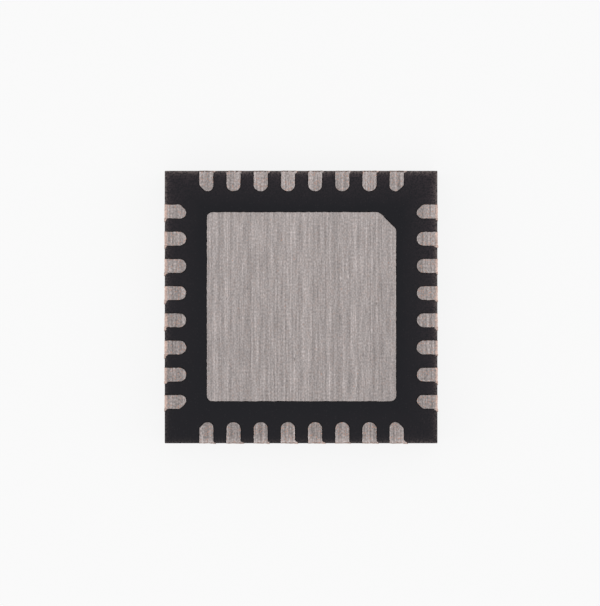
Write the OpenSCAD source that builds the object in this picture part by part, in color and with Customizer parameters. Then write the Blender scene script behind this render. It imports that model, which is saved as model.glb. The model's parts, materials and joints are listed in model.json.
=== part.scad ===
// Leadless chip package, lying on its marked face with its terminals up.
// A square black moulding holds a half-etched copper lead frame in its upper face: one large die pad, hung
// from the package corners by tie bars, and a row of leads along each side. Under the pad hangs the silicon
// die, and a gold wire runs from the die to every lead. All depths count down from the terminal faces.

/* [Moulding] */
// Side of the square moulding
body_w = 5; // [4.95:0.01:5.2]
// Height of the package, from its marked face to its terminal faces
package_h = 0.85; // [0.75:0.01:1]
// How far the terminal faces stand out of the moulding
standoff = 0.02; // [0.01:0.005:0.05]
// Radius of the pin 1 dot in the marked face
dot_r = 0.2; // [0.1:0.05:0.3]
// Depth of the pin 1 dot
dot_depth = 0.02; // [0.01:0.005:0.04]
// Distance from the pin 1 dot's centre to the two nearest sides
dot_inset = 0.6; // [0.4:0.05:1]

/* [Lead frame] */
// Thickness of the copper sheet
frame_t = 0.2; // [0.15:0.01:0.25]
// Depth of the half etch, taken from the terminal side
etch_depth = 0.1; // [0.07:0.01:0.12]
// Width of the tie bars between the die pad and the package corners
tie_bar_w = 0.15; // [0.1:0.01:0.18]

/* [Leads] */
// Number of leads along each side
leads_per_side = 8; // [2:1:8]
// Distance between neighbouring leads
pitch = 0.5; // [0.4:0.01:0.5]
// Width of a lead
lead_w = 0.26; // [0.24:0.01:0.3]
// Length of a lead's terminal face
lead_len = 0.38; // [0.3:0.01:0.42]
// How far the half-etched bond finger runs on past the terminal face
finger_len = 0.12; // [0.08:0.01:0.16]
// Radius of the tip's corners
tip_r = 0.125; // [0.08:0.005:0.125]
// Leg of the chamfer on the tip corner that faces a package corner
tip_chamfer = 0.11; // [0.08:0.005:0.12]
// Radius at both ends of that chamfer
tip_chamfer_r = 0.08; // [0.02:0.01:0.1]
// Radius of the tip corner beside that chamfer
chamfer_side_r = 0.105; // [0.08:0.005:0.115]

/* [Die pad] */
// Side of the pad's terminal face
pad_w = 3.48; // [3.2:0.01:3.6]
// Radius of the pad's corners
pad_r = 0.1; // [0.05:0.01:0.15]
// Leg of the chamfer beside pin 1
pad_chamfer = 0.31; // [0.25:0.01:0.4]
// How far the half-etched rim reaches past the terminal face
rim_w = 0.1; // [0.05:0.01:0.12]

/* [Die] */
// Side of the silicon die
die_w = 2.4; // [1.8:0.05:2.8]
// Thickness of the die
die_t = 0.23; // [0.15:0.01:0.28]
// Thickness of the die attach layer
attach_t = 0.02; // [0.01:0.005:0.04]
// How far the die attach layer squeezes out past the die
attach_bleed = 0.06; // [0.03:0.01:0.1]

/* [Bond wires] */
// Diameter of a wire
wire_d = 0.025; // [0.018:0.001:0.05]
// Distance from the die's edge to its row of bond pads
bond_inset = 0.1; // [0.06:0.01:0.2]
// Distance along the die's side from its corner to the nearest bond pad
bond_corner = 0.29; // [0.25:0.01:0.5]
// Height of the loop's crown over the die
loop_h = 0.13; // [0.1:0.01:0.16]
// Bend radius of the loop's crown
bend_r = 0.05; // [0.04:0.005:0.08]
// Diameter of the ball that starts a wire
ball_d = 0.06; // [0.055:0.005:0.08]
// Height of the ball
ball_h = 0.015; // [0.01:0.005:0.03]
// Distance from the finger's tip to the point where the wire lands
stitch_inset = 0.12; // [0.08:0.01:0.2]

/* [Hidden] */
$fn = 48;
mould_h = package_h - standoff;
lead_count = 4 * leads_per_side;
last_lead = leads_per_side - 1;
// Depths of the die's back and of its bonded face
die_depth = frame_t + attach_t;
bond_depth = die_depth + die_t;
// Spacing of the bond pads on the die
bond_pitch = (die_w - 2 * bond_corner) / last_lead;
// Where a wire starts and lands, measured outwards from the package's middle
bond_x = die_w / 2 - bond_inset;
stitch_x = body_w / 2 - lead_len - finger_len + stitch_inset;
// The wire loop over the die's bonded face: top of its upright neck, and level of the leads' bonded faces
neck_top = loop_h - bend_r;
landing_level = frame_t - bond_depth;
// How much fuller the wire is in its bend, where its straight ends lap into it
bend_swell = 1.04;
// The most that fillets may take of the wall that they round
fillet_share = 0.97;
plain_tip_r = min(tip_r, fillet_share * lead_w / 2);
end_tip_r = min(chamfer_side_r, fillet_share * (lead_w - tip_chamfer));
chamfer_tip_r = min(tip_chamfer_r, fillet_share * (lead_w - end_tip_r - tip_chamfer) / tan(22.5));
SIDES = ["right", "bottom", "left", "top"];

function lead_name(number) = str("lead_", number < 10 ? "0" : "", number);
function wires_name(side) = str("bond_wires_", side);
// Places along a side count from the end where that side's numbering starts
function along_side(place, spacing) = (last_lead / 2 - place) * spacing;
function unit(v) = v / norm(v);
// Corners of the lead at a place on the right-hand side, each with its radius, cut off flush with the package
function lead_corners(place, length) =
    let (x = body_w / 2 - length)
    let (y = along_side(place, pitch))
    let (h = lead_w / 2)
    let (r = place == 0 || place == last_lead ? end_tip_r : plain_tip_r)
    concat(
        place == last_lead
            ? [[x, y - h + tip_chamfer, chamfer_tip_r], [x + tip_chamfer, y - h, chamfer_tip_r]]
            : [[x, y - h, r]],
        [[body_w / 2, y - h, 0], [body_w / 2, y + h, 0]],
        place == 0
            ? [[x + tip_chamfer, y + h, chamfer_tip_r], [x, y + h - tip_chamfer, chamfer_tip_r]]
            : [[x, y + h, r]]
    );

// A convex outline from its corners, each given as X, Y and radius
module filleted(corners) {
    n = len(corners);
    points = [for (c = corners) [c[0], c[1]]];
    difference() {
        polygon(points);
        for (i = [0:n - 1]) if (corners[i][2] > 0) {
            r = corners[i][2];
            back = unit(points[(i + n - 1) % n] - points[i]);
            ahead = unit(points[(i + 1) % n] - points[i]);
            half = acos(back * ahead) / 2;
            cut = r / tan(half);
            centre = points[i] + unit(back + ahead) * r / sin(half);
            difference() {
                polygon([points[i], points[i] + cut * ahead, centre, points[i] + cut * back]);
                translate(centre) circle(r);
            }
        }
    }
}

// A flat layer of the given outline between two depths
module layer(from_depth, to_depth) {
    translate([0, 0, package_h - to_depth]) linear_extrude(to_depth - from_depth) children();
}

// Turns a shape that was drawn for the right-hand side to another side
module on_side(index) {
    rotate(-90 * index) children();
}

// Square with a chamfer at the pin 1 corner
module pad_outline(w) {
    h = w / 2;
    corners = [[-h, -h], [h, -h], [h, h - pad_chamfer], [h - pad_chamfer, h], [-h, h]];
    filleted([for (c = corners) [c[0], c[1], pad_r]]);
}

module tie_bars() {
    intersection() {
        square(body_w, center = true);
        for (turn = [45, 135]) rotate(turn) square([2 * body_w, tie_bar_w], center = true);
    }
}

module die_pad() {
    color("#a49c9a") {
        layer(0, frame_t) pad_outline(pad_w);
        layer(etch_depth, frame_t) {
            pad_outline(pad_w + 2 * rim_w);
            tie_bars();
        }
    }
}

module lead(number) {
    place = (number - 1) % leads_per_side;
    color("#a1938f") on_side(floor((number - 1) / leads_per_side)) {
        layer(0, frame_t) filleted(lead_corners(place, lead_len));
        layer(etch_depth, frame_t) filleted(lead_corners(place, lead_len + finger_len));
    }
}

module die_attach() {
    h = die_w / 2 + attach_bleed;
    color("#8c8c88") layer(frame_t, die_depth)
        filleted([for (c = [[-h, -h], [h, -h], [h, h], [-h, h]]) [c[0], c[1], attach_bleed]]);
}

module silicon_die() {
    color("#4a4d57") layer(die_depth, bond_depth) square(die_w, center = true);
}

// One wire, standing on the die's bonded face and running along +X to its landing. Its ends run on into
// the die and the lead, or are trimmed off at their faces.
module wire(span, trimmed) {
    reach = [span - bend_r, neck_top - landing_level];
    // The falling angle, in whole hundredths of a degree
    fall = round(100 * (atan2(reach[1], reach[0]) + asin(bend_r / norm(reach)))) / 100;
    crown = [bend_r * (1 + sin(fall)), 0, neck_top + bend_r * cos(fall)];
    lap = wire_d / 10;
    overrun = wire_d / tan(fall);
    fall_len = sqrt(reach * reach - bend_r * bend_r) + overrun;
    difference() {
        union() {
            translate([0, 0, -ball_h]) cylinder(d = ball_d, h = 2 * ball_h);
            cylinder(d = wire_d, h = neck_top + lap);
            translate([bend_r, 0, neck_top]) rotate([90, 0, 0]) rotate(90 - fall)
                rotate_extrude(angle = 90 + fall) translate([bend_r, 0]) circle(d = bend_swell * wire_d);
            translate(crown) rotate([0, 90 + fall, 0])
                translate([0, 0, -lap]) cylinder(d = wire_d, h = fall_len + lap);
        }
        if (trimmed) {
            translate([-ball_d, -ball_d, -package_h]) cube([2 * ball_d, 2 * ball_d, package_h]);
            translate([crown[0], -ball_d, landing_level - package_h]) cube([2 * span, 2 * ball_d, package_h]);
        }
    }
}

module side_wires(index, trimmed) {
    on_side(index) for (place = [0:last_lead]) {
        start = [bond_x, along_side(place, bond_pitch)];
        landing = [stitch_x, along_side(place, pitch)];
        way = landing - start;
        translate([start[0], start[1], package_h - bond_depth])
            rotate([180, 0, atan2(way[1], way[0])]) wire(norm(way), trimmed);
    }
}

module bond_wires(index) {
    color("#d9b25f") side_wires(index, true);
}

module pin_1_dot() {
    at = body_w / 2 - dot_inset;
    translate([at, at, -dot_depth]) cylinder(r = dot_r, h = 2 * dot_depth);
}

// The moulding flows round everything that the lead frame carries
module mould_body() {
    color("#262628") difference() {
        translate([-body_w / 2, -body_w / 2, 0]) cube([body_w, body_w, mould_h]);
        pin_1_dot();
        die_pad();
        die_attach();
        silicon_die();
        for (number = [1:lead_count]) lead(number);
        for (index = [0:3]) side_wires(index, false);
    }
}

mould_body();
die_pad();
die_attach();
silicon_die();
for (number = [1:lead_count]) lead(number);
for (index = [0:3]) bond_wires(index);
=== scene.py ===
"""Looks of a leadless chip package that lies on its marked face with its terminals up.

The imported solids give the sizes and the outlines. This script adds what they leave plain: etched and sawn
edges, the burrs that the saw dragged from the leads, the brushed tin, bare copper and filled epoxy finishes,
and a pale floor with soft light. Shapes are built in millimetres and brought to metres at the end.
"""

import json
import logging
import math
import random
from collections.abc import Iterator, Sequence
from dataclasses import dataclass
from enum import Enum
from functools import cache, partial, reduce

import bmesh
import bpy
from mathutils import Matrix, Vector, noise

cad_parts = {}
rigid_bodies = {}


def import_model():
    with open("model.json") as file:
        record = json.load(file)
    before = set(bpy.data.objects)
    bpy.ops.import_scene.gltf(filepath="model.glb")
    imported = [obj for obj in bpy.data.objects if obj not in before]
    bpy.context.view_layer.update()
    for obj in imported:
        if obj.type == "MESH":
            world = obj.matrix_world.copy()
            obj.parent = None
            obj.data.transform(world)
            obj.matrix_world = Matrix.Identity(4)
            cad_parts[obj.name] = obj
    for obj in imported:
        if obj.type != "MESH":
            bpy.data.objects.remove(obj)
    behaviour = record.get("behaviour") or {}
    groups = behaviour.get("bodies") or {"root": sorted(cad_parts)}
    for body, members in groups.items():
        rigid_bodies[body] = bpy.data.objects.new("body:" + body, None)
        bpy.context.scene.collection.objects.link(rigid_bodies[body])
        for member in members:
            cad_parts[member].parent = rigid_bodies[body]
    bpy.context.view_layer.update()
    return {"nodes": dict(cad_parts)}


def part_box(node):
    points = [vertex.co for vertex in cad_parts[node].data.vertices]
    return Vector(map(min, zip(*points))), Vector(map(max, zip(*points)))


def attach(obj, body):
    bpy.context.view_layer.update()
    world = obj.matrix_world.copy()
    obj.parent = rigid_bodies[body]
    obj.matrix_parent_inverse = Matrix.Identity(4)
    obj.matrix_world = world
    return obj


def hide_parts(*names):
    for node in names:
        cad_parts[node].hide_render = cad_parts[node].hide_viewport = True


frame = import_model()

Pair = tuple[float, float]
Triple = tuple[float, float, float]
Colour = Triple
Shape = bmesh.types.BMesh
Mesh = bpy.types.Mesh
Object = bpy.types.Object
Socket = bpy.types.NodeSocket
Value = Socket | float
Inputs = dict[int | str, object]

MM = 0.001  # A millimetre in metres
MERGE = 1e-5  # Points that lie nearer than this are one
NEAR = 1e-4  # Places along an axis that differ by less are the same
DIGITS = 4  # Decimals to which heights are read
LEVEL = 0.9998  # A face lies level where its normal rises this far
SMOOTH_ANGLE = math.radians(35)
RIGHT_ANGLE = math.pi / 2
HALF = 0.5
EDGE_FLATS = 4  # Flats that round an etched edge
RUN_OUT = 0.05  # How far a sawn end is drawn out past the drawn side
GRAIN_RANGE = (0.3, 0.7)  # Where nearly all of a grain's values lie
ROUGH_SWING = 0.2  # How much a finish's grain changes its roughness
log = logging.getLogger("chip_package")


class Side(Enum):
    """The package's sides, in the order in which its leads are numbered."""

    RIGHT = 0
    BOTTOM = 1
    LEFT = 2
    TOP = 3

    @property
    def angle(self) -> float:
        """Turn about Z that brings the right-hand side here."""
        return -RIGHT_ANGLE * self.value

    @property
    def outward(self) -> Vector:
        """Direction out of this side."""
        return Matrix.Rotation(self.angle, 3, "Z") @ Vector((1, 0, 0))


class Combine(Enum):
    """The ways to combine a shape with another."""

    CUT = "DIFFERENCE"
    TRIM = "INTERSECT"
    JOIN = "UNION"


@dataclass(frozen=True)
class SawCut:
    """A pass of the saw: how far outside the drawn side it ran, and the lip it pulled from the leads."""

    outside: float
    lip: float


SAW_CUTS = {
    Side.RIGHT: SawCut(0.0, 0.006),
    Side.BOTTOM: SawCut(0.0123, 0.006),
    Side.LEFT: SawCut(0.0153, 0.006),
    Side.TOP: SawCut(-0.0015, 0.0),
}


def solid_copy(node: str) -> Shape:
    """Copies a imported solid, welded and in millimetres.

    Args:
        node: the solid's name in the frame.

    Returns:
        The copy, which the caller frees.
    """
    copy = bmesh.new()
    copy.from_mesh(frame["nodes"][node].data)
    bmesh.ops.scale(copy, vec=(1 / MM,) * 3, verts=copy.verts)
    bmesh.ops.remove_doubles(copy, verts=copy.verts, dist=MERGE)
    return copy


def top_outline(copy: Shape) -> list[Vector]:
    """Reads the outline of the highest face of a solid's copy, which is used up.

    Args:
        copy: the copy, in millimetres.

    Returns:
        The outline's points, counter-clockwise seen from above.
    """
    top = max(vert.co.z for vert in copy.verts)
    faces = {face for face in copy.faces if min(vert.co.z for vert in face.verts) > top - MERGE}
    ahead: dict[bmesh.types.BMVert, bmesh.types.BMVert] = {}
    for face in faces:
        for loop in face.loops:
            if not faces.issuperset(loop.edge.link_faces):
                ahead[loop.vert] = loop.link_loop_next.vert
    vert = min(ahead, key=lambda found: (found.co.x, found.co.y))
    outline = []
    for _ in range(len(ahead)):
        outline.append(Vector((vert.co.x, vert.co.y)))
        vert = ahead[vert]
    copy.free()
    return outline


def neighbours(outline: Sequence[Vector]) -> Iterator[tuple[Vector, Vector, Vector]]:
    """Goes round an outline and gives each point between the one before it and the one after it."""
    return zip([outline[-1], *outline[:-1]], outline, [*outline[1:], outline[0]])


def resampled(outline: Sequence[Vector], step: float) -> list[Vector]:
    """Splits an outline's long segments.

    Args:
        outline: the outline's points, in order.
        step: the longest segment that stays whole.

    Returns:
        The outline with the added points.
    """
    points = []
    for _, start, end in neighbours(outline):
        parts = max(1, math.ceil((end - start).length / step - MERGE))
        points += [start.lerp(end, part / parts) for part in range(parts)]
    return points


def grown(outline: Sequence[Vector], distance: float) -> list[Vector]:
    """Offsets a convex outline outwards, or inwards where the distance is negative.

    Args:
        outline: the outline's points, counter-clockwise.
        distance: how far each segment moves.

    Returns:
        The moved points, as many as before.
    """
    moved = []
    for before, at, after in neighbours(outline):
        a, b = (at - before).normalized(), (after - at).normalized()
        normals = Vector((a.y, -a.x)) + Vector((b.y, -b.x))
        moved.append(at + normals * (2 * distance / normals.length_squared))
    return moved


def arc(centre: Vector, radius: float, start: float, sweep: float, flats: int) -> list[Vector]:
    """Points of an arc made up of flats, from its start angle counter-clockwise over its sweep."""
    angles = [start + sweep * flat / flats for flat in range(flats + 1)]
    return [centre + radius * Vector((math.cos(angle), math.sin(angle))) for angle in angles]


def at_height(outline: Sequence[Vector], z: float) -> list[Vector]:
    """Lifts a flat outline to a height."""
    return [Vector((point.x, point.y, z)) for point in outline]


def rounding(radius: float, flats: int) -> list[Pair]:
    """Insets and drops of a rounded upper edge, from the flat face to the wall."""
    angles = [RIGHT_ANGLE * flat / flats for flat in range(flats + 1)]
    return [(radius * (1 - math.sin(a)), radius * (1 - math.cos(a))) for a in angles]


def rounded_rings(outline: Sequence[Vector], top: float, radius: float) -> list[list[Vector]]:
    """Rings of an outline's rounded upper edge, from the flat face to the wall."""
    profile = rounding(radius, EDGE_FLATS)
    return [at_height(grown(outline, -inset), top - drop) for inset, drop in profile]


def lofted(rings: Sequence[Sequence[Vector]]) -> Shape:
    """Closes a skin over stacked rings.

    Args:
        rings: rings of equally many points, from the highest down, each counter-clockwise seen from above.

    Returns:
        The closed skin, which the caller frees.
    """
    skin = bmesh.new()
    loops = [[skin.verts.new(point) for point in ring] for ring in rings]
    for upper, lower in zip(loops, loops[1:]):
        for i in range(len(upper)):
            j = (i + 1) % len(upper)
            skin.faces.new((upper[i], lower[i], lower[j], upper[j]))
    skin.faces.new(loops[0])
    skin.faces.new(loops[-1][::-1])
    bmesh.ops.remove_doubles(skin, verts=skin.verts, dist=MERGE)
    bmesh.ops.dissolve_degenerate(skin, edges=skin.edges, dist=MERGE)
    bmesh.ops.recalc_face_normals(skin, faces=skin.faces)
    return skin


def prism(outline: Sequence[Vector], high: float, low: float) -> Shape:
    """Closes a skin over a flat outline between two heights."""
    return lofted([at_height(outline, high), at_height(outline, low)])


def noise_at(place: Triple, density: Triple, lift: float = 0.0) -> float:
    """Noise at a place, with cells to the millimetre along X, Y and Z, read higher up by a lift."""
    x, y, z = (part * cells for part, cells in zip(place, density))
    return noise.noise(Vector((x, y, z + lift)))


def linked(name: str, data: bpy.types.ID) -> Object:
    """Makes an object of a mesh, lamp or camera and links it to the scene.

    Args:
        name: the object's name.
        data: what it holds.

    Returns:
        The new object.
    """
    made = bpy.data.objects.new(name, data)
    bpy.context.scene.collection.objects.link(made)
    return made


def new_object(name: str, shape: Shape) -> Object:
    """Makes an object of a shape, which is used up, and links it to the scene.

    Args:
        name: the object's name.
        shape: the shape, in millimetres.

    Returns:
        The new object.
    """
    mesh = bpy.data.meshes.new(name)
    shape.to_mesh(mesh)
    shape.free()
    return linked(name, mesh)


def evaluated_mesh(source: Object) -> Mesh:
    """Turns an object and its modifiers into a plain mesh, and removes the object.

    Args:
        source: the object, in millimetres.

    Returns:
        The plain mesh, still in millimetres.
    """
    graph = bpy.context.evaluated_depsgraph_get()
    mesh = bpy.data.meshes.new_from_object(source.evaluated_get(graph))
    bpy.data.objects.remove(source)
    return mesh


def combined(base: Shape, steps: Sequence[tuple[Combine, Shape]]) -> Mesh:
    """Cuts, trims or joins a shape with others, one after the other.

    Args:
        base: the shape to start from, which is used up.
        steps: for each step the way to combine and the other shape, which is used up too.

    Returns:
        The plain mesh of the result, in millimetres.
    """
    body = new_object("combined", base)
    others = []
    for way, shape in steps:
        others.append(new_object("operand", shape))
        modifier = body.modifiers.new(way.name, "BOOLEAN")
        modifier.solver = "MANIFOLD"
        modifier.operation = way.value
        modifier.object = others[-1]
    mesh = evaluated_mesh(body)
    for other in others:
        bpy.data.objects.remove(other)
    return mesh


def smoothed(mesh: Mesh) -> None:
    """Shades a mesh smoothly, save at steep edges and round its level faces, which keep their own normal.

    Args:
        mesh: the mesh to shade.
    """
    shape = bmesh.new()
    shape.from_mesh(mesh)
    for face in shape.faces:
        face.smooth = True
    for edge in shape.edges:
        level = {abs(face.normal.z) > LEVEL for face in edge.link_faces}
        edge.smooth = len(level) == 1 and edge.calc_face_angle(math.pi) < SMOOTH_ANGLE
    shape.to_mesh(mesh)
    shape.free()


class Graph:
    """A node tree that is being wired."""

    def __init__(self, tree: bpy.types.NodeTree) -> None:
        """Takes a tree and empties it."""
        self.tree = tree
        tree.nodes.clear()

    def add(self, kind: str, inputs: Inputs | None = None, **settings: object) -> bpy.types.Node:
        """Adds a node.

        Args:
            kind: Blender's name for the kind of node.
            inputs: its inputs by place or name; a socket is linked, and anything else is set.
            settings: the node's own properties.

        Returns:
            The new node.
        """
        node = self.tree.nodes.new(kind)
        for name, value in settings.items():
            setattr(node, name, value)
        for key, value in (inputs or {}).items():
            if isinstance(value, Socket):
                self.tree.links.new(value, node.inputs[key])
            else:
                node.inputs[key].default_value = value
        return node

    def maths(self, operation: str, *values: Value) -> Socket:
        """Adds a sum of one or two values."""
        return self.add("ShaderNodeMath", dict(enumerate(values)), operation=operation).outputs[0]

    def fold(self, operation: str, *values: Value) -> Socket:
        """Adds the same sum over several values, from the first to the last."""
        return reduce(partial(self.maths, operation), values)

    def total(self, *values: Value) -> Socket:
        """Adds several values up."""
        return self.fold("ADD", *values)

    def product(self, *values: Value) -> Socket:
        """Multiplies several values."""
        return self.fold("MULTIPLY", *values)

    def swing(self, value: Value, amount: float) -> Socket:
        """Centres a pattern that swings about one half on zero, times an amount."""
        return self.product(self.maths("SUBTRACT", value, HALF), amount)

    def remap(self, value: Value, low: Value, high: Value, start: float = 0.0, end: float = 1.0) -> Socket:
        """Maps the range from low to high smoothly to that from start to end, and clamps it."""
        inputs = dict(enumerate((value, low, high, start, end)))
        return self.add("ShaderNodeMapRange", inputs, interpolation_type="SMOOTHSTEP").outputs[0]

    def vectors(self, operation: str, a: object, b: object) -> Socket:
        """Adds a sum of two vectors that gives a vector."""
        return self.add("ShaderNodeVectorMath", {0: a, 1: b}, operation=operation).outputs["Vector"]

    def measure(self, operation: str, a: object, b: object) -> Socket:
        """Adds a sum of two vectors that gives a number."""
        return self.add("ShaderNodeVectorMath", {0: a, 1: b}, operation=operation).outputs["Value"]

    def parts(self, vector: Socket) -> list[Socket]:
        """Takes a vector apart into X, Y and Z."""
        return list(self.add("ShaderNodeSeparateXYZ", {0: vector}).outputs)

    def place(self) -> Socket:
        """Place on the object, in millimetres."""
        at = self.add("ShaderNodeTexCoord").outputs["Object"]
        return self.vectors("MULTIPLY", at, (1 / MM,) * 3)

    def pattern(self, kind: str, density: Triple, **inputs: float) -> bpy.types.Node:
        """Adds a texture of the given kind and density on the object's place, with its other inputs."""
        stretched = self.vectors("MULTIPLY", self.place(), density)
        return self.add(kind, {"Vector": stretched, "Scale": 1.0, **inputs})

    def grain(self, density: Triple, detail: float = 1.0, roughness: float = 0.5) -> Socket:
        """Adds noise that swings about one half; its detail is finer layers, as strong as its roughness."""
        return self.pattern("ShaderNodeTexNoise", density, Detail=detail, Roughness=roughness).outputs[0]

    def specks(self, density: Triple, radius: float, share: float) -> Socket:
        """Adds sparse specks.

        Args:
            density: cells to the millimetre along X, Y and Z.
            radius: a speck's radius, as a share of a cell.
            share: how many of the cells hold one.

        Returns:
            A socket that is one inside a speck and zero outside.
        """
        cells = self.pattern("ShaderNodeTexVoronoi", density)
        near = self.remap(cells.outputs["Distance"], radius / 2, radius, 1.0, 0.0)
        drawn = self.add("ShaderNodeSeparateColor", {0: cells.outputs["Color"]}).outputs[0]
        return self.product(near, self.maths("LESS_THAN", drawn, share))

    def blend(self, factor: Value, a: Socket | Colour, b: Socket | Colour) -> Socket:
        """Blends two colours, with a factor of zero for the first and one for the second."""
        # The node's colours are its inputs 6 and 7 and its output 2
        first, second = ((*c, 1.0) if isinstance(c, tuple) else c for c in (a, b))
        return self.add("ShaderNodeMix", {0: factor, 6: first, 7: second}, data_type="RGBA").outputs[2]

    def edge_distance(self, side: Side, half: float) -> Socket:
        """Distance of a place inside the saw's line along a side, given half the package's drawn width."""
        reach = self.measure("DOT_PRODUCT", self.place(), side.outward)
        return self.maths("SUBTRACT", half + SAW_CUTS[side].outside, reach)

    def bump(self, height: Value, depth: float) -> Socket:
        """Adds fine relief from a height between zero and one, with its full depth in millimetres."""
        return self.add("ShaderNodeBump", {"Height": height, "Distance": depth * MM}).outputs[0]


def scaled(colour: Colour, factor: float) -> Colour:
    """Makes a colour lighter or darker."""
    return tuple(min(1.0, part * factor) for part in colour)


def grey(level: float) -> tuple[float, ...]:
    """Neutral colour of a level, with its alpha."""
    return (level,) * 3 + (1.0,)


@dataclass(frozen=True)
class Finish:
    """A surface finish drawn by nodes on the object's own place.

    Lengths are in millimetres, densities in cells to the millimetre along X, Y and Z.
    """

    name: str

    @cache
    def material(self) -> bpy.types.Material:
        """Builds the finish's material, once.

        Returns:
            The material.
        """
        made = bpy.data.materials.new(self.name)
        made.use_nodes = True
        graph = Graph(made.node_tree)
        shader = graph.add("ShaderNodeBsdfPrincipled", self.draw(graph))
        graph.add("ShaderNodeOutputMaterial", {"Surface": shader.outputs[0]})
        return made

    def draw(self, graph: Graph) -> Inputs:
        """Draws the finish among the material's nodes, and gives the shader's inputs by name."""
        raise NotImplementedError


def fitted_piece(name: str, mesh: Mesh, finish: Finish, nodes: Sequence[str]) -> Object:
    """Turns a mesh into a finished piece that stands for solids of the frame.

    Args:
        name: the piece's name.
        mesh: its mesh, in millimetres.
        finish: the finish that it gets.
        nodes: the solids that it stands for.

    Returns:
        The finished piece.
    """
    mesh.name = name
    smoothed(mesh)
    mesh.transform(Matrix.Scale(MM, 4))
    mesh.materials.clear()
    mesh.materials.append(finish.material())
    piece = linked(name, mesh)
    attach(piece, "root")
    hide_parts(*nodes)
    log.info("%s: %d faces, stands for %d solids", name, len(mesh.polygons), len(nodes))
    return piece


@dataclass(frozen=True)
class CopperStrip:
    """Copper that the saw laid bare along one side.

    It has a width, a brightness seen from above that paints its side's light and shade (bright on the lit
    sides, dark on the unlit top side), a dark line painted as shade where it meets the tin, and a painted
    sheen on the tin beside it.
    """

    width: float
    # Painted light and shade: how bright the copper on this side's flat face is drawn
    level: float
    # Painted shade: how dark a line is drawn where the copper meets the tin
    groove_shade: float
    # Painted highlight: how much brighter the tin is drawn just inside this side
    sheen: float


@dataclass(frozen=True)
class Specks:
    """Specks on the tin: their cells, their radius as a share of a cell, and how much they cover."""

    density: Triple
    radius: float
    cover: float


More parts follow.
